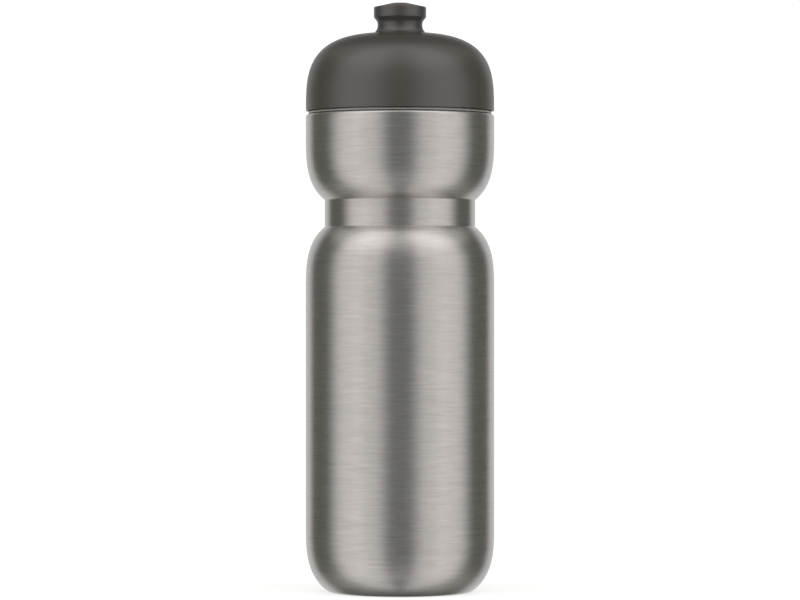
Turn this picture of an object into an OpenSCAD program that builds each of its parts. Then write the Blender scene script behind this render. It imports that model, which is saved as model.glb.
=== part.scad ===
// Insulated steel bicycle bottle with a domed screw lid and a pull spout.
// The bottle stands on the plane z = 0, centred on the Z axis, and its front faces -Y.
// Nearly every piece is turned about Z, so a profile below is a list of [radius, height] points.

/* [Bottle body] */
// Outside diameter of the body and of the bulb above the waist, which a bottle cage grips
body_d = 74.4; // [72:0.1:76]
// Outside diameter of the waist that a cage's tab drops into
waist_d = 59.4; // [57:0.1:61]
// Height of the waist between its two corners
waist_h = 10.5; // [8:0.2:14]
// Height at which the lower corner of the body starts to curve in
base_corner_z = 26.5; // [25:0.5:28]
// Length of the straight stretch of the body
grip_length = 92.3; // [80:0.1:120]
// Height of the straight stretch of the bulb
bulb_straight = 8.7; // [7:0.1:14]
// Half height of the rounded square that all the large corners are cut from
corner_h = 31.2; // [30:0.1:32]
// Squareness of the large corners: 2 is an ellipse
squareness = 3.16; // [2.8:0.01:3.4]
// Radius of the rolled top edge of the bulb
rim_round = 1.2; // [0.8:0.1:1.6]
// Thickness of the outer steel
outer_wall = 0.5; // [0.4:0.05:0.7]
// Thickness of the inner steel
inner_wall = 0.4; // [0.3:0.05:0.5]
// Vacuum gap beside the straight walls
vacuum_gap = 2.3; // [1.8:0.1:2.6]

/* [Threaded neck] */
// Outside diameter of the neck under its thread
neck_d = 63.2; // [62:0.1:64]
// Height of the neck above the bulb
neck_h = 12; // [11:0.5:14]
// Rise of the thread in one turn
pitch = 6; // [5:0.5:7]
// How far the thread stands out of the neck
thread_depth = 1.1; // [0.9:0.05:1.2]
// Turns of thread on the neck
neck_turns = 1.25; // [1:0.05:1.35]

/* [Lid] */
// Outside diameter of the lid's lower edge
lid_d = 74.3; // [72:0.1:76]
// Height of the dome above its lower corner
dome_h = 30.5; // [30:0.1:32]
// Squareness of the dome: 2 is an ellipse
dome_squareness = 3.2; // [2.8:0.05:3.4]
// Chamfer round the dome's lower edge
lid_chamfer = 0.25; // [0.1:0.05:0.4]
// Height of the dome's lower edge above the core's lower end
reveal_h = 1.1; // [0.6:0.05:1.2]
// Gap between the lid and the bulb when the lid is closed
lid_gap = 0.2; // [0.1:0.05:0.4]
// Thickness of the dome
dome_wall = 1.85; // [1.6:0.05:2.1]
// Thickness of the gasket
gasket_h = 1.6; // [1.2:0.1:2]

/* [Spout] */
// Diameter of the mouthpiece's rim
spout_rim_d = 20.7; // [19:0.1:21]
// Diameter of the mouthpiece's waist
spout_waist_d = 17.6; // [17:0.1:18]
// Height of the mouthpiece's top above the dome's top
spout_h = 11.8; // [11:0.1:12.5]
// Diameter of the drinking hole
drink_d = 5; // [4.4:0.1:5.4]
// How far the spout pulls out
spout_travel = 6.5; // [5:0.5:6.5]

/* [Hidden] */

$fn = 96;
STEPS = 22;         // points along one large corner
THREAD_STEP = 6;    // degrees between two sections of a thread

STEEL = "silver";
CHARCOAL = "#4a4744";
CORE_GREY = "#6b6966";
SILICONE = "#2f2d2b";

// Heights of the body
body_r = body_d / 2;
waist_r = waist_d / 2;
shoulder_z = base_corner_z + grip_length;
waist_z = shoulder_z + corner_rise(body_r, corner_h, waist_r);
bulb_corner_z = waist_z + waist_h + corner_rise(body_r, corner_h, waist_r);
rim_z = bulb_corner_z + bulb_straight;

// Inner vessel
liner_r = body_r - outer_wall - vacuum_gap;
liner_corner_h = corner_h - outer_wall - vacuum_gap;
liner_waist_r = waist_r - outer_wall - 1.65;
liner_floor_z = 4.6;
waist_middle = waist_z + waist_h / 2;
liner_cone_z = rim_z - 6;     // where the liner starts to close towards the neck
neck_foot_z = rim_z - 3;      // where the liner meets the neck

// Foot of the bottle
foot_blend_z = 0.87;          // height at which the corner turns into the foot's rounding
foot_inner_r = 23.6;
recess_r = 22.6;
recess_z = 2;
evacuation_r = 1.3;

// Neck and its threads
neck_r = neck_d / 2;
neck_top = rim_z + neck_h;
thread_half = 1;              // half the height of a thread at its root
crest_half = 0.5;             // half the height of a thread at its crest
thread_gap = 0.35;            // clearance between the two threads' crests and roots
run_out = 30;                 // degrees over which a thread fades at each end
neck_thread_z = rim_z + 2.9;
lid_thread_z = neck_thread_z - 1.8;
lid_thread_from = 75;         // degrees at which the lid's thread starts
lid_thread_to = 435;

// Lid
lid_r = lid_d / 2;
lid_bottom = rim_z + lid_gap;
dome_bottom = lid_bottom + reveal_h;
dome_z = lid_bottom + 1.4;
dome_top = dome_z + dome_h;
dome_in_r = lid_r - dome_wall;
dome_in_h = dome_h - dome_wall;
skirt_r = neck_r + thread_depth + thread_gap + 0.25;
lip_r = lid_r - 1.05;         // outside radius of the core's lip under the dome
lip_top = dome_bottom - 0.3;  // top of that lip, with a thin groove between it and the dome
gasket_z = neck_top;
plate_z = gasket_z + gasket_h;
plate_top = plate_z + 1.8;
gasket_in_r = neck_r - 1.5;
gasket_out_r = skirt_r - 0.4;
core_dome_h = 12;
core_squareness = 2.6;
core_wall = 1.2;

// Chimney that the spout slides on
spout_top = dome_top + spout_h;
chimney_in_r = 5;
chimney_r = 6.1;
chimney_bead_r = 6.5;
chimney_top = spout_top - 5;
chimney_bead_z = chimney_top - 2.4;
o_ring_z = chimney_top - 1.2;
o_ring_half = 0.6;

// Spout
sleeve_in_r = 6.6;
sleeve_bead_r = 6.2;
sleeve_r = 7.3;
sleeve_bead_h = 1.2;
sleeve_bottom = chimney_bead_z - spout_travel - sleeve_bead_h - 0.2;
sleeve_top = spout_top - 2;
foot_r = 10;
seat_r = foot_r + 0.3;
seat_z = dome_top - 0.55;
hole_r = sleeve_r + 0.3;
groove_low_r = 4.3;           // radius of the lower half of the groove round the mouthpiece
groove_high_r = 3.2;          // radius of its upper half
groove_high_rise = 1.6;       // height of its upper half
rim_top_z = spout_top - 1.65;
rim_low_z = rim_top_z - 4;
groove_z = rim_low_z - 2.95;
drink_r = drink_d / 2;
tip_r = drink_r - 0.05;

// Vent valve
vent_y = 17;
vent_seat_z = plate_top + 7.1;
vent_pad_h = 4.4;
vent_hole_r = 0.7;

// Large corners: a quarter of a superellipse of half width a and half height b
function corner_rise(a, b, r, n = squareness) = b * pow(1 - pow(r / a, n), 1 / n);
function corner_angle(a, r, n) = acos(pow(r / a, n / 2));
function corner(a, b, z, up, r_end, n = squareness, steps = STEPS) =
    [for (i = [0 : steps])
        let (t = corner_angle(a, r_end, n) * i / steps)
        [a * pow(cos(t), 2 / n), z + up * b * pow(sin(t), 2 / n)]];
function backwards(points) = [for (i = [len(points) - 1 : -1 : 0]) points[i]];
function arc(r, z, radius, from, to, steps = 8) =
    [for (i = [0 : steps])
        let (t = from + (to - from) * i / steps)
        [r + radius * cos(t), z + radius * sin(t)]];

// The foot's rounding touches both the corner, at height z, and the ground
function corner_r_at(z) =
    body_r * pow(1 - pow((base_corner_z - z) / corner_h, squareness), 1 / squareness);
function corner_slope(z) =
    atan(corner_h / body_r * pow(corner_r_at(z) / body_r, squareness - 1)
         / pow((base_corner_z - z) / corner_h, squareness - 1));
function foot_radius(z) = z / (1 - cos(corner_slope(z)));

module turned(points) {
    rotate_extrude() polygon(points);
}

// One start of thread: a strip of trapezoids along a helix, faded at both ends.
// root lies inside the wall, face is the wall's surface and crest is the thread's top.
module thread(root, face, crest, z, from, to) {
    count = round((to - from) / THREAD_STEP);
    side = crest > face ? 1 : -1;
    faces_out = side > 0;
    points = [for (i = [0 : count])
        let (a = from + (to - from) * i / count,
             fade = min(1, (a - from) / run_out, (to - a) / run_out),
             top = face - 0.1 * side + (crest - face + 0.1 * side) * fade,
             h = z + pitch * a / 360)
        for (p = [[root, h - thread_half], [top, h - crest_half],
                  [top, h + crest_half], [root, h + thread_half]])
            [p[0] * cos(a), p[0] * sin(a), p[1]]];
    ends = [[0, 1, 2, 3], [for (k = [3 : -1 : 0]) 4 * count + k]];
    strip = [for (i = [0 : count - 1], k = [0 : 3])
        let (a = 4 * i + k, b = 4 * i + (k + 1) % 4, c = b + 4, d = a + 4)
        for (f = [[a, d, c], [a, c, b]]) f];
    all = concat(ends, strip);
    polyhedron(points, faces_out ? [for (f = all) backwards(f)] : all, convexity = 6);
}

// ---- Bottle ----

module body_shell() {
    wall_r = body_r - outer_wall;
    wall_h = corner_h - outer_wall;
    color(STEEL) turned(concat(
        [[body_r, base_corner_z]],
        corner(body_r, corner_h, shoulder_z, 1, waist_r),
        [[waist_r - outer_wall, waist_z]],
        backwards(corner(wall_r, wall_h, shoulder_z, 1, waist_r - outer_wall)),
        [[wall_r, base_corner_z]]));
}

module base_cup() {
    wall_r = body_r - outer_wall;
    wall_h = corner_h - outer_wall;
    join_r = corner_r_at(foot_blend_z);
    round_r = foot_radius(foot_blend_z);
    slope = corner_slope(foot_blend_z);
    round_c = join_r - round_r * sin(slope);
    floor_z = recess_z + outer_wall;
    color(STEEL) difference() {
        turned(concat(
            corner(body_r, corner_h, base_corner_z, -1, join_r),
            [for (p = arc(round_c, round_r, round_r, slope - 90, -90)) if (p[1] < foot_blend_z - 0.01) p],
            [[foot_inner_r, 0], [recess_r, recess_z - 0.4], [recess_r - 0.4, recess_z], [0, recess_z],
             [0, floor_z], [recess_r, floor_z], [foot_inner_r + 0.5, outer_wall], [round_c, outer_wall]],
            backwards(corner(wall_r, wall_h, base_corner_z, -1, join_r - 0.3))));
        translate([0, 0, recess_z - 1]) cylinder(r = evacuation_r, h = 3);
    }
}

// Cover plate in the recess of the base, with a pressed ring
module base_disc() {
    color(STEEL) turned([[0, recess_z - 0.55], [6, recess_z - 0.55], [6.6, recess_z - 0.9],
        [7.4, recess_z - 0.9], [8, recess_z - 0.55], [20.6, recess_z - 0.55], [20.6, recess_z], [0, recess_z]]);
}

// Glass solder that closes the evacuation hole
module vacuum_seal() {
    color("dimgray") translate([0, 0, recess_z]) cylinder(r = evacuation_r, h = outer_wall + 0.5);
}

// Getter tablet under the inner vessel
module getter() {
    color("gray") translate([0, 0, liner_floor_z - 1.1]) cylinder(r = 6, h = 1.1);
}

module waist_band() {
    color(STEEL) difference() {
        translate([0, 0, waist_z]) cylinder(r = waist_r, h = waist_h);
        translate([0, 0, waist_z - 1]) cylinder(r = waist_r - outer_wall, h = waist_h + 2);
    }
}

module bulb_shell() {
    wall_r = body_r - outer_wall;
    wall_h = corner_h - outer_wall;
    round_in = rim_round - outer_wall;
    color(STEEL) turned(concat(
        [[waist_r - outer_wall, waist_z + waist_h]],
        backwards(corner(body_r, corner_h, bulb_corner_z, -1, waist_r)),
        arc(body_r - rim_round, rim_z - rim_round, rim_round, 0, 90, 6),
        [[neck_r, rim_z], [neck_r, rim_z - outer_wall]],
        arc(body_r - rim_round, rim_z - rim_round, round_in, 90, 0, 6),
        corner(wall_r, wall_h, bulb_corner_z, -1, waist_r - outer_wall)));
}

// The liner's two halves meet at the middle of the waist
module liner_body() {
    in_r = liner_r - inner_wall;
    in_h = liner_corner_h - inner_wall;
    in_waist_r = liner_waist_r - inner_wall;
    color(STEEL) turned(concat(
        [[liner_r, base_corner_z]],
        corner(liner_r, liner_corner_h, shoulder_z, 1, liner_waist_r),
        [[liner_waist_r, waist_middle], [in_waist_r, waist_middle]],
        backwards(corner(in_r, in_h, shoulder_z, 1, in_waist_r)),
        [[in_r, base_corner_z]]));
}

module liner_bulb() {
    in_r = liner_r - inner_wall;
    in_h = liner_corner_h - inner_wall;
    in_waist_r = liner_waist_r - inner_wall;
    color(STEEL) turned(concat(
        [[in_waist_r, waist_middle], [liner_waist_r, waist_middle]],
        backwards(corner(liner_r, liner_corner_h, bulb_corner_z, -1, liner_waist_r)),
        [[liner_r, liner_cone_z], [neck_r, neck_foot_z], [neck_r - outer_wall, neck_foot_z],
         [in_r, liner_cone_z - 0.2]],
        corner(in_r, in_h, bulb_corner_z, -1, in_waist_r)));
}

module liner_base() {
    in_r = liner_r - inner_wall;
    in_h = liner_corner_h - inner_wall;
    end_r = 29.4;
    end_z = base_corner_z - corner_rise(liner_r, liner_corner_h, end_r);
    color(STEEL) turned(concat(
        corner(liner_r, liner_corner_h, base_corner_z, -1, end_r),
        [[end_r - 2.2, liner_floor_z], [0, liner_floor_z], [0, liner_floor_z + inner_wall],
         [end_r - 2.3, liner_floor_z + inner_wall], [end_r - 0.7, end_z + inner_wall - 0.1]],
        backwards(corner(in_r, in_h, base_corner_z, -1, end_r))));
}

module threaded_neck() {
    color(STEEL) {
        difference() {
            translate([0, 0, neck_foot_z]) cylinder(r = neck_r, h = neck_top - neck_foot_z);
            translate([0, 0, neck_foot_z - 1]) cylinder(r = neck_r - outer_wall, h = neck_h + 6);
        }
        thread(neck_r - 0.3, neck_r, neck_r + thread_depth, neck_thread_z, 0, 360 * neck_turns);
    }
}

// ---- Lid ----

// The gasket turns and rises with the lid
module lid_gasket() {
    color(SILICONE) difference() {
        translate([0, 0, gasket_z]) cylinder(r = gasket_out_r, h = gasket_h);
        translate([0, 0, gasket_z - 1]) cylinder(r = gasket_in_r + 0.3, h = gasket_h + 2);
    }
}

// Inner surface of the dome, which the core's skirt lies against
dome_inside = corner(dome_in_r, dome_in_h, dome_z, 1, hole_r, dome_squareness);
core_shoulder = [for (p = dome_inside) if (p[1] < plate_top - 0.1) p];
core_edge = core_shoulder[len(core_shoulder) - 1];

module lid_core() {
    core_r = gasket_in_r;
    core_in_r = core_r - core_wall;
    slot_w = 1.6;
    color(CORE_GREY) {
        difference() {
            union() {
                turned(concat(
                    [[skirt_r, lid_bottom], [lip_r, lid_bottom], [lip_r, lip_top], [dome_in_r, lip_top],
                     [dome_in_r, dome_bottom]],
                    core_shoulder,
                    [[core_edge[0] - 2 * (plate_top - core_edge[1]), plate_top], [core_r, plate_top]],
                    corner(core_r, core_dome_h, plate_top, 1, chimney_r, core_squareness),
                    [[chimney_r, chimney_bead_z], [chimney_bead_r, chimney_bead_z + 0.4],
                     [chimney_bead_r, o_ring_z - o_ring_half], [chimney_r - 0.6, o_ring_z - o_ring_half],
                     [chimney_r - 0.6, o_ring_z + o_ring_half], [chimney_bead_r, o_ring_z + o_ring_half],
                     [chimney_bead_r, chimney_top - 0.3], [chimney_bead_r - 0.3, chimney_top],
                     [chimney_in_r, chimney_top]],
                    backwards(corner(core_in_r, core_dome_h - core_wall, plate_top, 1, chimney_in_r,
                                     core_squareness)),
                    [[core_in_r, neck_top - 1], [core_r, neck_top - 1], [core_r, plate_z], [skirt_r, plate_z]]));
                // Pad that the vent valve closes on
                translate([0, vent_y, vent_seat_z]) cylinder(r = 5.6, h = vent_pad_h);
            }
            // Vent holes round the valve's stem
            translate([0, vent_y, vent_seat_z - 1]) {
                cylinder(r = 1.15, h = 8);
                for (a = [30 : 120 : 270]) rotate(a) translate([2.6, 0, 0]) cylinder(r = vent_hole_r, h = 8);
            }
            // Slots that let air up between the core and the dome
            for (a = [45 : 90 : 315]) rotate(a)
                translate([dome_in_r - 1.3, -slot_w / 2, lid_bottom - 1])
                    cube([1.7, slot_w, plate_top - lid_bottom + 2]);
        }
        thread(skirt_r + 0.3, skirt_r, neck_r + thread_gap, lid_thread_z, lid_thread_from, lid_thread_to);
    }
}

module lid_dome() {
    color(CHARCOAL) turned(concat(
        [[dome_in_r, dome_bottom], [lid_r - lid_chamfer, dome_bottom], [lid_r, dome_bottom + lid_chamfer]],
        corner(lid_r, dome_h, dome_z, 1, seat_r, dome_squareness),
        [[seat_r, seat_z], [hole_r, seat_z]],
        backwards(dome_inside)));
}

// Umbrella valve: its disc lies on the pad and bends away from it to let air in
module vent_valve() {
    color(SILICONE) translate([0, vent_y, vent_seat_z]) turned([
        [0, -1.1], [2, -1.1], [4.3, -0.7], [4.3, 0], [1.1, 0], [1.1, vent_pad_h],
        [1.8, vent_pad_h], [1.3, vent_pad_h + 1.1], [0, vent_pad_h + 1.4]]);
}

// Post that closes the drinking hole, on three spokes in the foot of the chimney
module spout_stem() {
    hub_z = plate_top + core_dome_h - core_wall + 0.2;
    hub_h = 2.6;
    post_r = 2;
    color(CORE_GREY) {
        difference() {
            translate([0, 0, hub_z]) cylinder(r = chimney_in_r, h = hub_h);
            translate([0, 0, hub_z - 1]) cylinder(r = chimney_in_r - 0.8, h = hub_h + 2);
        }
        for (a = [90 : 120 : 330]) rotate(a)
            translate([post_r - 0.5, -0.5, hub_z]) cube([chimney_in_r - post_r - 0.1, 1, hub_h]);
        turned([[0, hub_z - 0.8], [1.2, hub_z - 0.8], [post_r, hub_z], [post_r, sleeve_top - 1.4],
            [tip_r, sleeve_top - 0.7], [tip_r, spout_top - 0.9], [tip_r - 0.5, spout_top - 0.4],
            [0, spout_top - 0.4]]);
    }
}

module stem_o_ring() {
    color(SILICONE) turned([
        [chimney_r - 0.6, o_ring_z - 0.35], [chimney_r - 0.35, o_ring_z - 0.6],
        [sleeve_in_r - 0.3, o_ring_z - 0.6], [sleeve_in_r - 0.03, o_ring_z - 0.3],
        [sleeve_in_r - 0.03, o_ring_z + 0.3], [sleeve_in_r - 0.3, o_ring_z + 0.6],
        [chimney_r - 0.35, o_ring_z + 0.6], [chimney_r - 0.6, o_ring_z + 0.35]]);
}

// ---- Spout ----

module spout_sleeve() {
    color(CORE_GREY) turned([
        [sleeve_bead_r, sleeve_bottom], [sleeve_r, sleeve_bottom], [sleeve_r, sleeve_top],
        [drink_r + 0.9, sleeve_top], [drink_r + 0.9, sleeve_top - 1.2], [sleeve_in_r - 0.5, sleeve_top - 1.2],
        [sleeve_in_r, sleeve_top - 1.7], [sleeve_in_r, sleeve_bottom + sleeve_bead_h],
        [sleeve_bead_r, sleeve_bottom + sleeve_bead_h - 0.4]]);
}

module mouthpiece() {
    rim_r = spout_rim_d / 2;
    waist = spout_waist_d / 2;
    up = asin(groove_high_rise / groove_high_r);
    down = acos((waist + groove_low_r - foot_r) / groove_low_r);
    color(CHARCOAL) turned(concat(
        [[sleeve_r, seat_z + 0.1], [foot_r, seat_z + 0.1]],
        arc(waist + groove_low_r, groove_z, groove_low_r, 180 + down, 180),
        arc(waist + groove_high_r, groove_z, groove_high_r, 180 - up / 6, 180 - up, 5),
        [[rim_r - 0.05, rim_low_z], [rim_r, rim_top_z - 0.2], [rim_r - 0.2, rim_top_z],
         [3.2, spout_top], [drink_r + 0.3, spout_top], [drink_r, spout_top - 0.3],
         [drink_r, sleeve_top], [sleeve_r, sleeve_top]]));
}

body_shell();
base_cup();
base_disc();
vacuum_seal();
getter();
waist_band();
bulb_shell();
liner_body();
liner_base();
liner_bulb();
threaded_neck();
lid_gasket();
lid_core();
lid_dome();
vent_valve();
spout_stem();
stem_o_ring();
spout_sleeve();
mouthpiece();
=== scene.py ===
"""Looks for the insulated bicycle bottle: turned shells, brushed steel, matte lid, studio and camera."""

import math

import bpy
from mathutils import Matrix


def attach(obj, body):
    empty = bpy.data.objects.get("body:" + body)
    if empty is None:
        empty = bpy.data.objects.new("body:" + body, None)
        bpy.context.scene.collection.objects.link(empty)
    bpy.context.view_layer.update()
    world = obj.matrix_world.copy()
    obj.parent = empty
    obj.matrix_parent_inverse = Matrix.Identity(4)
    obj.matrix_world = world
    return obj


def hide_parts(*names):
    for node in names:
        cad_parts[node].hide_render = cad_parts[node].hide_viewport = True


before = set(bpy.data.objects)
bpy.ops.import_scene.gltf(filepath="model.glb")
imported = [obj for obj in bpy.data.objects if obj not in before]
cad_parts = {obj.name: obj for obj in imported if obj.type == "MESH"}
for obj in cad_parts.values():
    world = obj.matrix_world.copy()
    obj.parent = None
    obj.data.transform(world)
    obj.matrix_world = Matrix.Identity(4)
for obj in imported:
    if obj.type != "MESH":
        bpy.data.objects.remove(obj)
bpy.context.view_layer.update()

MM = 0.001
TURN_STEPS = 256        # points round a turned piece
CURVE_STEPS = 72        # points along one large corner
SMOOTH_DEG = 32         # edges sharper than this stay sharp

# ---------------------------------------------------------------- dimensions, in mm, as in part.scad
body_r, waist_r, waist_h = 37.2, 29.7, 10.5
base_corner_z = 26.5             # where the drum's straight wall starts
grip_length, bulb_straight = 92.3, 8.7
corner_h, squareness = 31.2, 3.16
rim_round, outer_wall, neck_r = 1.2, 0.5, 31.6
lid_r, lid_chamfer, lid_gap, dome_wall = 37.15, 0.25, 0.2, 1.85
reveal_h = 1.1                   # from the core's lower end up to the dome's lower edge
dome_start = 1.4                 # from there up to the start of the dome's curve
dome_h, dome_squareness = 30.5, 3.2
spout_h, drink_r, sleeve_r = 11.8, 2.5, 7.3
foot_r = 10.0                    # the mouthpiece where it enters the dome
spout_rim_r, spout_waist_r = 10.35, 8.8
groove_low_r, groove_high_r, groove_high_rise = 4.3, 3.2, 1.6


def corner_rise(a, b, r, n=squareness):
    """Height at which a superellipse corner of radius a and height b has drawn in to radius r."""
    return b * (1 - (r / a) ** n) ** (1 / n)


def corner(a, b, z, up, r_end, n=squareness):
    """A quarter of a superellipse from radius a at height z to radius r_end, as [radius, height] points.

    b is its full height, and up is 1 where it rises and -1 where it falls.
    """
    last = math.acos((r_end / a) ** (n / 2))
    out = []
    for i in range(CURVE_STEPS + 1):
        t = last * i / CURVE_STEPS
        out.append((a * math.cos(t) ** (2 / n), z + up * b * math.sin(t) ** (2 / n)))
    return out


def arc(r, z, radius, start, end, steps):
    """A circular arc round [r, z], from one angle to another in degrees."""
    out = []
    for i in range(steps + 1):
        t = math.radians(start + (end - start) * i / steps)
        out.append((r + radius * math.cos(t), z + radius * math.sin(t)))
    return out


def fillet(points, radii, steps=5):
    """Rounds the corners of a closed profile: radii maps a point's index to its rounding."""
    out, count = [], len(points)
    for i, p in enumerate(points):
        radius = radii.get(i, 0)
        if not radius:
            out.append(p)
            continue
        a, b = points[i - 1], points[(i + 1) % count]
        ua = (a[0] - p[0], a[1] - p[1])
        ub = (b[0] - p[0], b[1] - p[1])
        la, lb = math.hypot(*ua), math.hypot(*ub)
        ua, ub = (ua[0] / la, ua[1] / la), (ub[0] / lb, ub[1] / lb)
        half = math.acos(max(-1, min(1, ua[0] * ub[0] + ua[1] * ub[1]))) / 2
        reach = min(radius / math.tan(half), la * 0.49, lb * 0.49)
        start = (p[0] + ua[0] * reach, p[1] + ua[1] * reach)
        end = (p[0] + ub[0] * reach, p[1] + ub[1] * reach)
        for k in range(steps + 1):
            t = k / steps
            w0, w1, w2 = (1 - t) ** 2, 2 * t * (1 - t), t * t
            out.append((w0 * start[0] + w1 * p[0] + w2 * end[0],
                        w0 * start[1] + w1 * p[1] + w2 * end[1]))
    return out


def back(points):
    return list(reversed(points))


shoulder_z = base_corner_z + grip_length
waist_z = shoulder_z + corner_rise(body_r, corner_h, waist_r)
waist_top = waist_z + waist_h
bulb_corner_z = waist_top + corner_rise(body_r, corner_h, waist_r)
rim_z = bulb_corner_z + bulb_straight
lid_bottom = rim_z + lid_gap
dome_bottom = lid_bottom + reveal_h
dome_z = lid_bottom + dome_start
dome_top = dome_z + dome_h
dome_in_r, dome_in_h = lid_r - dome_wall, dome_h - dome_wall
spout_top = dome_top + spout_h


# ---------------------------------------------------------------- meshes
def turned(name, profile, smooth_deg=SMOOTH_DEG):
    """A closed solid turned about Z from a closed profile of [radius, height] points in mm."""
    points = []
    for r, z in profile:
        if not points or math.hypot(r - points[-1][0], z - points[-1][1]) > 1e-4:
            points.append((max(r, 0.0), z))
    verts, faces, rings = [], [], []
    for r, z in points:
        if r < 1e-6:
            rings.append([len(verts)])
            verts.append((0.0, 0.0, z * MM))
        else:
            rings.append(list(range(len(verts), len(verts) + TURN_STEPS)))
            for k in range(TURN_STEPS):
                a = 2 * math.pi * k / TURN_STEPS
                verts.append((r * MM * math.cos(a), r * MM * math.sin(a), z * MM))
    for i, ring in enumerate(rings):
        other = rings[(i + 1) % len(rings)]
        if len(ring) == 1 and len(other) == 1:
            continue
        for k in range(TURN_STEPS):
            n = (k + 1) % TURN_STEPS
            if len(ring) == 1:
                faces.append((ring[0], other[k], other[n]))
            elif len(other) == 1:
                faces.append((ring[k], other[0], ring[n]))
            else:
                faces.append((ring[k], other[k], other[n], ring[n]))
    return mesh_object(name, verts, faces, smooth_deg)


def mesh_object(name, verts, faces, smooth_deg):
    """A smooth-shaded object from its points and faces, with its normals turned outwards."""
    mesh = bpy.data.meshes.new(name)
    mesh.from_pydata(verts, [], faces)
    mesh.validate()
    volume = 0.0
    for p in mesh.polygons:
        c = [mesh.vertices[v].co for v in p.vertices]
        for k in range(1, len(c) - 1):
            volume += c[0].dot(c[k].cross(c[k + 1]))
    if volume < 0:
        mesh.flip_normals()
    mesh.shade_smooth()
    mesh.set_sharp_from_angle(angle=math.radians(smooth_deg))
    obj = bpy.data.objects.new(name, mesh)
    bpy.context.scene.collection.objects.link(obj)
    return obj


# ---------------------------------------------------------------- materials
class Tree:
    """Short calls for building one material's nodes."""

    def __init__(self, name):
        self.mat = bpy.data.materials.new(name)
        self.mat.use_nodes = True
        self.nodes, self.links = self.mat.node_tree.nodes, self.mat.node_tree.links
        self.shader = self.nodes["Principled BSDF"]

    def node(self, kind, **values):
        n = self.nodes.new(kind)
        for key, value in values.items():
            setattr(n, key, value)
        return n

    def put(self, value, socket):
        if isinstance(value, bpy.types.NodeSocket):
            self.links.new(value, socket)
        else:
            socket.default_value = value

    def math(self, op, *inputs):
        n = self.node("ShaderNodeMath", operation=op)
        for value, socket in zip(inputs, n.inputs):
            self.put(value, socket)
        return n.outputs[0]

    def object_xyz(self):
        coords = self.node("ShaderNodeTexCoord").outputs["Object"]
        split = self.node("ShaderNodeSeparateXYZ")
        self.links.new(coords, split.inputs[0])
        return coords, split.outputs

    def radius(self, xyz):
        """Distance from the bottle's axis."""
        squares = [self.math("MULTIPLY", xyz[axis], xyz[axis]) for axis in ("X", "Y")]
        return self.math("SQRT", self.math("ADD", *squares))

    def noise(self, vector, scale, detail, rough, w=None, distortion=0.0):
        n = self.node("ShaderNodeTexNoise", noise_dimensions="3D" if w is None else "4D")
        self.put(vector, n.inputs["Vector"])
        if w is not None:
            self.put(w, n.inputs["W"])
        n.inputs["Scale"].default_value = scale
        n.inputs["Detail"].default_value = detail
        n.inputs["Roughness"].default_value = rough
        n.inputs["Distortion"].default_value = distortion
        return n.outputs["Fac"]

    def span(self, value, lo, hi, out_lo, out_hi):
        """The value's range lo to hi carried over to out_lo to out_hi, and held beyond them."""
        n = self.node("ShaderNodeMapRange")
        self.put(value, n.inputs["Value"])
        for key, v in zip(("From Min", "From Max", "To Min", "To Max"), (lo, hi, out_lo, out_hi)):
            n.inputs[key].default_value = v
        return n.outputs["Result"]

    def tint(self, base, factor):
        """The colour times a number."""
        n = self.node("ShaderNodeVectorMath", operation="SCALE")
        self.put(base, n.inputs[0])
        self.put(factor, n.inputs["Scale"])
        return n.outputs[0]

    def bump(self, height, strength, distance):
        n = self.node("ShaderNodeBump")
        n.inputs["Strength"].default_value = strength
        n.inputs["Distance"].default_value = distance
        self.put(height, n.inputs["Height"])
        return n.outputs["Normal"]

    def set(self, **values):
        """Fills the shader's inputs by name and gives back the material."""
        for key, value in values.items():
            self.put(value, self.shader.inputs[key.replace("_", " ")])
        return self.mat


def brushed_steel(name, colour, rough, streak, aniso):
    """Steel brushed round the bottle's axis: streaks run round it, at any slope of the surface."""
    t = Tree(name)
    coords, xyz = t.object_xyz()
    radius = t.radius(xyz)

    def streaks(along, across, detail, rough_):
        scaled = t.node("ShaderNodeCombineXYZ")
        t.put(t.math("MULTIPLY", xyz["X"], along), scaled.inputs[0])
        t.put(t.math("MULTIPLY", xyz["Y"], along), scaled.inputs[1])
        t.put(t.math("MULTIPLY", xyz["Z"], across), scaled.inputs[2])
        return t.noise(scaled.outputs[0], 1.0, detail, rough_, w=t.math("MULTIPLY", radius, across))

    fine = streaks(70.0, 2600.0, 2.0, 0.6)
    medium = streaks(105.0, 1100.0, 1.0, 0.5)
    broad = streaks(40.0, 300.0, 1.0, 0.5)
    mixed = t.math("ADD", t.math("MULTIPLY", fine, 0.25),
                   t.math("ADD", t.math("MULTIPLY", medium, 0.6), t.math("MULTIPLY", broad, 0.15)))
    tone = t.span(mixed, 0.3, 0.7, 1 - streak, 1 + streak)
    smudge = t.noise(coords, 28.0, 3.0, 0.55)
    roughness = t.math("ADD", t.span(mixed, 0.3, 0.7, rough - 0.015, rough + 0.015),
                       t.span(smudge, 0.35, 0.7, -0.012, 0.02))
    tangent = t.node("ShaderNodeTangent", direction_type="RADIAL", axis="Z")
    normal = t.bump(mixed, 0.15, 0.00003)
    return t.set(Base_Color=t.tint(colour, tone), Metallic=1.0, Roughness=roughness,
                 Anisotropic=aniso, Anisotropic_Rotation=0.25, Tangent=tangent.outputs[0], Normal=normal)


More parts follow.
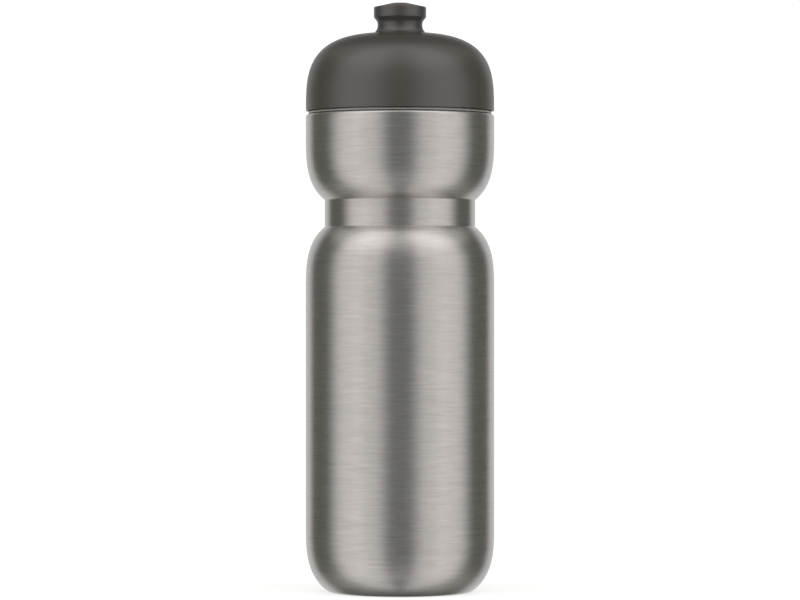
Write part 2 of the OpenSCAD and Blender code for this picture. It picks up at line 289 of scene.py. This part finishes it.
def moulded(name, colour, rough, grain, grain_depth, specular=0.5, ior=1.5, painted_shadow_edge=None):
    """Matte moulded plastic or silicone with a fine spark-eroded grain and faint handling marks.

    The last argument, a radius and a height in metres, paints shade: outside and above them the colour is
    darker, standing in for a shadow line.
    """
    t = Tree(name)
    coords, xyz = t.object_xyz()
    fine = t.noise(coords, grain, 3.0, 0.6)
    cloud = t.noise(coords, 45.0, 4.0, 0.6)
    marks = t.noise(coords, 130.0, 5.0, 0.7, distortion=0.6)
    tone = t.math("MULTIPLY", t.span(fine, 0.3, 0.7, 0.965, 1.035), t.span(cloud, 0.3, 0.7, 0.97, 1.03))
    # Painted shade: a shadow line darkened into the colour outside the given radius and above the given
    # height
    if painted_shadow_edge is not None:
        edge_r, edge_z = painted_shadow_edge
        outside = t.span(t.radius(xyz), edge_r - 0.0002, edge_r, 0.0, 1.0)
        higher = t.span(xyz["Z"], edge_z - 0.0001, edge_z, 0.0, PAINTED_SHADOW_DARKNESS)
        tone = t.math("MULTIPLY", tone, t.math("SUBTRACT", 1.0, t.math("MULTIPLY", outside, higher)))
    roughness = t.math("ADD", t.span(cloud, 0.3, 0.7, rough - 0.03, rough + 0.03),
                       t.span(marks, 0.55, 0.75, 0.0, -0.035))
    normal = t.bump(fine, 0.5, grain_depth)
    t.shader.inputs["IOR"].default_value = ior
    t.shader.inputs["Specular IOR Level"].default_value = specular
    return t.set(Base_Color=t.tint(colour, tone), Metallic=0.0, Roughness=roughness, Normal=normal)


STEEL = brushed_steel("brushed_steel", (0.668, 0.637, 0.618), 0.27, 0.10, 0.75)
INNER_STEEL = brushed_steel("inner_steel", (0.60, 0.595, 0.58), 0.32, 0.04, 0.4)
LID = moulded("lid_shell", (0.0525, 0.0425, 0.0355), 0.34, 2600.0, 0.00001, 1.0, 1.6)
MOUTH = moulded("mouth_silicone", (0.0530, 0.0430, 0.0365), 0.36, 2000.0, 0.00001, 1.0, 1.6)
# Painted shade: the groove between the core's lip and the dome, and the lip's top edge, are coloured darker
# to stand for the shadow line there
PAINTED_SHADOW_DARKNESS = 0.8
CORE = moulded("lid_inside", (0.33, 0.308, 0.29), 0.32, 1500.0, 0.00001, 1.0, 1.6,
               painted_shadow_edge=((dome_in_r - 0.2) * MM, (dome_bottom - 0.52) * MM))
STEM = moulded("spout_inside", (0.150, 0.142, 0.133), 0.32, 1500.0, 0.00001, 1.0, 1.6)
SILICONE = moulded("silicone", (0.035, 0.033, 0.031), 0.5, 1800.0, 0.00001)
GLASS = moulded("seal_glass", (0.03, 0.035, 0.04), 0.12, 900.0, 0.00001)
GETTER = moulded("getter_metal", (0.12, 0.12, 0.115), 0.7, 900.0, 0.00004)


def dress(obj, material):
    obj.data.materials.clear()
    obj.data.materials.append(material)


def piece(obj, node, body, material):
    """A finished visible piece that stands for a CAD node."""
    dress(obj, material)
    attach(obj, body)
    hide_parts(node)


# ---------------------------------------------------------------- steel body
wall_r, wall_h = body_r - outer_wall, corner_h - outer_wall
drum_middle = (base_corner_z + shoulder_z) / 2
waist_in_r = waist_r - outer_wall

body = turned("drum_shell", [(body_r, base_corner_z), (body_r, drum_middle)]
              + corner(body_r, corner_h, shoulder_z, 1, waist_r)
              + [(waist_in_r, waist_z)]
              + back(corner(wall_r, wall_h, shoulder_z, 1, waist_in_r))
              + [(wall_r, base_corner_z)])
piece(body, "body_shell", "bottle", STEEL)

waist = turned("waist_ring", [(waist_r, waist_z), (waist_r, (waist_z + waist_top) / 2), (waist_r, waist_top),
                              (waist_in_r, waist_top), (waist_in_r, waist_z)])
piece(waist, "waist_band", "bottle", STEEL)

# The rolled rim runs inwards to the neck and stops just clear of it
rim_c, rim_cz, rim_in_r = body_r - rim_round, rim_z - rim_round, neck_r + 0.02
bulb = turned("bulb_skin",
              [(waist_in_r, waist_top)]
              + back(corner(body_r, corner_h, bulb_corner_z, -1, waist_r))
              + [(body_r, (bulb_corner_z + rim_z) / 2)]
              + arc(rim_c, rim_cz, rim_round, 0, 90, 14)
              + [(rim_in_r, rim_z), (rim_in_r, rim_z - outer_wall)]
              + arc(rim_c, rim_cz, rim_round - outer_wall, 90, 0, 8)
              + corner(wall_r, wall_h, bulb_corner_z, -1, waist_in_r))
piece(bulb, "bulb_shell", "bottle", STEEL)

# Foot: its rounding leaves the large corner at foot_z and meets the ground
foot_z = 0.87
join_depth = (base_corner_z - foot_z) / corner_h
join_r = body_r * (1 - join_depth ** squareness) ** (1 / squareness)
slope = math.degrees(math.atan(corner_h / body_r * (join_r / body_r) ** (squareness - 1)
                               / join_depth ** (squareness - 1)))
round_r = foot_z / (1 - math.cos(math.radians(slope)))
round_c = join_r - round_r * math.sin(math.radians(slope))
recess_z, recess_r, recess_round, foot_inner_r, evacuation_r = 2.0, 22.6, 0.4, 23.6, 1.3
floor_z = recess_z + outer_wall
foot = turned("foot_cup",
              corner(body_r, corner_h, base_corner_z, -1, join_r)
              + arc(round_c, round_r, round_r, slope - 90, -90, 14)
              + fillet([(round_c - 0.5, 0), (foot_inner_r, 0), (recess_r, recess_z - recess_round),
                        (recess_r - recess_round, recess_z), (evacuation_r, recess_z),
                        (evacuation_r, floor_z), (recess_r, floor_z),
                        (foot_inner_r + 0.5, outer_wall), (round_c, outer_wall)], {1: 0.5, 2: 0.3})
              + back(corner(wall_r, wall_h, base_corner_z, -1, join_r - 0.3)))
piece(foot, "base_cup", "bottle", STEEL)

# Cover plate in the recess, with a pressed ring that stands out of it
cover_r, cover_z, bead_z = 20.6, recess_z - 0.55, recess_z - 0.9
cover = turned("foot_cover", fillet([
    (0, cover_z), (6, cover_z), (6.6, bead_z), (7.4, bead_z), (8, cover_z), (cover_r, cover_z),
    (cover_r, recess_z), (0, recess_z)], {1: 0.5, 2: 0.4, 3: 0.4, 4: 0.5, 5: 0.2}))
piece(cover, "base_disc", "bottle", STEEL)

# ---------------------------------------------------------------- lid
# The mouthpiece sits in a shallow seat, and its sleeve slides through the hole below it
slide_gap, seat_depth = 0.3, 0.55
seat_r, seat_z, hole_r = foot_r + slide_gap, dome_top - seat_depth, sleeve_r + slide_gap
lid = turned("lid_skin",
             [(dome_in_r, dome_bottom)]
             + arc(lid_r - lid_chamfer, dome_bottom + lid_chamfer, lid_chamfer, -90, 0, 8)
             + corner(lid_r, dome_h, dome_z, 1, seat_r, dome_squareness)
             + [(seat_r, seat_z), (hole_r, seat_z)]
             + back(corner(dome_in_r, dome_in_h, dome_z, 1, hole_r, dome_squareness)), smooth_deg=40)
piece(lid, "lid_dome", "lid", LID)

# ---------------------------------------------------------------- mouthpiece
rim_top = spout_top - 1.65
rim_low = spout_top - 5.65
groove_z = rim_low - 2.95        # where the groove under the rim is narrowest
crown_r = 3.2                    # the top slopes up from the rim to here
sleeve_top = spout_top - 2
mouth_foot_z = seat_z + 0.1
up = math.degrees(math.asin(groove_high_rise / groove_high_r))
down = math.degrees(math.acos((spout_waist_r + groove_low_r - foot_r) / groove_low_r))
groove = (arc(spout_waist_r + groove_low_r, groove_z, groove_low_r, 180 + down, 180, 20)
          + arc(spout_waist_r + groove_high_r, groove_z, groove_high_r, 178, 180 - up, 12))
ring = fillet([groove[-1], (spout_rim_r - 0.05, rim_low), (spout_rim_r, rim_top), (crown_r, spout_top),
               (drink_r, spout_top), (drink_r, sleeve_top)], {1: 0.25, 2: 0.35, 3: 0.4, 4: 0.3})
mouth = turned("mouth_soft", [(sleeve_r, mouth_foot_z), (foot_r, mouth_foot_z)] + groove[:-1] + ring
               + [(sleeve_r, sleeve_top)])
piece(mouth, "mouthpiece", "spout", MOUTH)

# ---------------------------------------------------------------- CAD nodes that are shown as they are
for node, material in (("liner_body", INNER_STEEL), ("liner_base", INNER_STEEL), ("liner_bulb", INNER_STEEL),
                       ("threaded_neck", INNER_STEEL), ("lid_gasket", SILICONE), ("lid_core", CORE),
                       ("vent_valve", SILICONE), ("spout_stem", STEM), ("stem_o_ring", SILICONE),
                       ("spout_sleeve", STEM), ("vacuum_seal", GLASS), ("getter", GETTER)):
    dress(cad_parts[node], material)


# ---------------------------------------------------------------- studio
BACKDROP_LEVEL = 1.08
FLOOR_R, FLOOR_Z, FLOOR_POINTS = 6.0, -0.00005, 96     # metres; just under the foot


def studio_world():
    """Two tall soft panels in front with a dark gap between them, dark sides and a white back wall."""
    world = bpy.data.worlds.new("studio")
    bpy.context.scene.world = world
    world.use_nodes = True
    nodes, links = world.node_tree.nodes, world.node_tree.links
    nodes.clear()

    def math_node(op, a, b=None):
        n = nodes.new("ShaderNodeMath")
        n.operation = op
        for value, socket in zip((a, b), n.inputs):
            if isinstance(value, bpy.types.NodeSocket):
                links.new(value, socket)
            elif value is not None:
                socket.default_value = value
        return n.outputs[0]

    def ramp(factor, stops):
        n = nodes.new("ShaderNodeValToRGB")
        links.new(factor, n.inputs[0])
        n.color_ramp.interpolation = "EASE"
        while len(n.color_ramp.elements) < len(stops):
            n.color_ramp.elements.new(0.5)
        for element, (pos, value) in zip(n.color_ramp.elements, stops):
            element.position = pos
            element.color = (*value, 1) if isinstance(value, tuple) else (value, value, value, 1)
        return n.outputs[0]

    def step(value, lo, hi, out_lo, out_hi):
        n = nodes.new("ShaderNodeMapRange")
        n.interpolation_type = "SMOOTHSTEP"
        links.new(value, n.inputs["Value"])
        for key, v in zip(("From Min", "From Max", "To Min", "To Max"), (lo, hi, out_lo, out_hi)):
            n.inputs[key].default_value = v
        return n.outputs["Result"]

    # Brightness and tint by the direction a ray leaves in: round the bottle, then by its rise
    direction = nodes.new("ShaderNodeTexCoord").outputs["Generated"]
    split = nodes.new("ShaderNodeSeparateXYZ")
    links.new(direction, split.inputs[0])
    x, y, z = split.outputs
    around = math_node("ABSOLUTE", math_node("ARCTAN2", x, math_node("MULTIPLY", y, -1.0)))
    turn = math_node("DIVIDE", around, math.pi)        # 0 in front, 1 behind
    sides = ramp(turn, [(a / 180, v) for a, v in (
        (0, 0.17), (8, 0.19), (34, 0.66), (55, 0.80), (72.5, 0.742), (104.5, 0.14), (127, 0.13),
        (149, 0.60), (180, 0.68))])
    tints = ramp(turn, [(a / 180, c) for a, c in (
        (0, (0.955, 1.035, 0.975)), (7, (0.985, 1.01, 0.985)), (15, (1.02, 0.99, 0.985)),
        (26, (1.0, 0.995, 0.985)), (82, (1.0, 0.995, 0.985)), (92, (1.02, 0.99, 0.98)),
        (106, (0.98, 1.03, 0.935)), (118, (0.98, 1.03, 0.935)), (132, (1.03, 0.985, 0.975)),
        (146, (1.0, 1.0, 0.98)), (180, (1.0, 1.0, 0.98)))])
    rise = math_node("ADD", math_node("MULTIPLY", z, 0.5), 0.5)       # 0 below, 0.5 level, 1 overhead
    gain = ramp(rise, ((0.0, 0.60), (0.07, 0.70), (0.16, 0.82), (0.3, 1.0), (0.6, 1.0), (0.85, 1.12),
                       (0.96, 0.84), (1.0, 0.8)))
    extra = ramp(rise, ((0.0, 0.14), (0.16, 0.19), (0.34, 0.0), (0.72, 0.0), (0.84, 0.34), (0.96, 0.48),
                        (1.0, 0.42)))
    level = math_node("ADD", math_node("MULTIPLY", sides, gain), extra)
    # The room behind the bottle is dark above and below the white wall
    behind = step(turn, 0.62, 0.86, 0.0, 1.0)
    above = math_node("MULTIPLY", step(y, 0.0, 0.3, 0.0, 1.0), step(z, 0.27, 0.57, 0.0, 0.85))
    below = math_node("MULTIPLY", step(y, -0.2, 0.25, 0.0, 1.0), step(z, -0.72, -0.38, 0.9, 0.0))
    dim = math_node("MULTIPLY", math_node("ADD", above, below), behind)
    level = math_node("MULTIPLY", level, math_node("SUBTRACT", 1.0, dim))

    def blend(factor, a, b):
        n = nodes.new("ShaderNodeMix")
        n.data_type = "FLOAT"
        for value, socket in zip((factor, a, b), (n.inputs[0], n.inputs[2], n.inputs[3])):
            if isinstance(value, bpy.types.NodeSocket):
                links.new(value, socket)
            else:
                socket.default_value = value
        return n.outputs[0]

    # The camera itself sees plain white
    camera_ray = nodes.new("ShaderNodeLightPath").outputs["Is Camera Ray"]
    level = blend(camera_ray, level, BACKDROP_LEVEL)
    shade = nodes.new("ShaderNodeBackground")
    links.new(level, shade.inputs["Strength"])
    links.new(tints, shade.inputs["Color"])
    out = nodes.new("ShaderNodeOutputWorld")
    links.new(shade.outputs[0], out.inputs[0])


studio_world()

floor_mesh = bpy.data.meshes.new("floor")
floor_turns = [2 * math.pi * k / FLOOR_POINTS for k in range(FLOOR_POINTS)]
floor_mesh.from_pydata([(FLOOR_R * math.cos(a), FLOOR_R * math.sin(a), FLOOR_Z) for a in floor_turns],
                       [], [tuple(range(FLOOR_POINTS))])
floor = bpy.data.objects.new("floor", floor_mesh)
bpy.context.scene.collection.objects.link(floor)
PALE_FLOOR = Tree("pale_floor").set(Base_Color=(0.8, 0.8, 0.8, 1), Roughness=0.9,
                                    Emission_Color=(1, 1, 1, 1), Emission_Strength=0.62)
floor_mesh.materials.append(PALE_FLOOR)
floor.visible_glossy = False        # the foot reflects the room, not the floor

camera = bpy.data.objects.new("camera", bpy.data.cameras.new("camera"))
bpy.context.scene.collection.objects.link(camera)
camera.location = (0.0, -1.465, 0.1151)
camera.rotation_euler = (math.radians(90), 0, 0)
camera.data.lens = 167.0
camera.data.sensor_width = 36.0
camera.data.clip_start = 0.05
camera.data.clip_end = 50.0
bpy.context.scene.camera = camera
bpy.context.scene.view_settings.view_transform = "Standard"
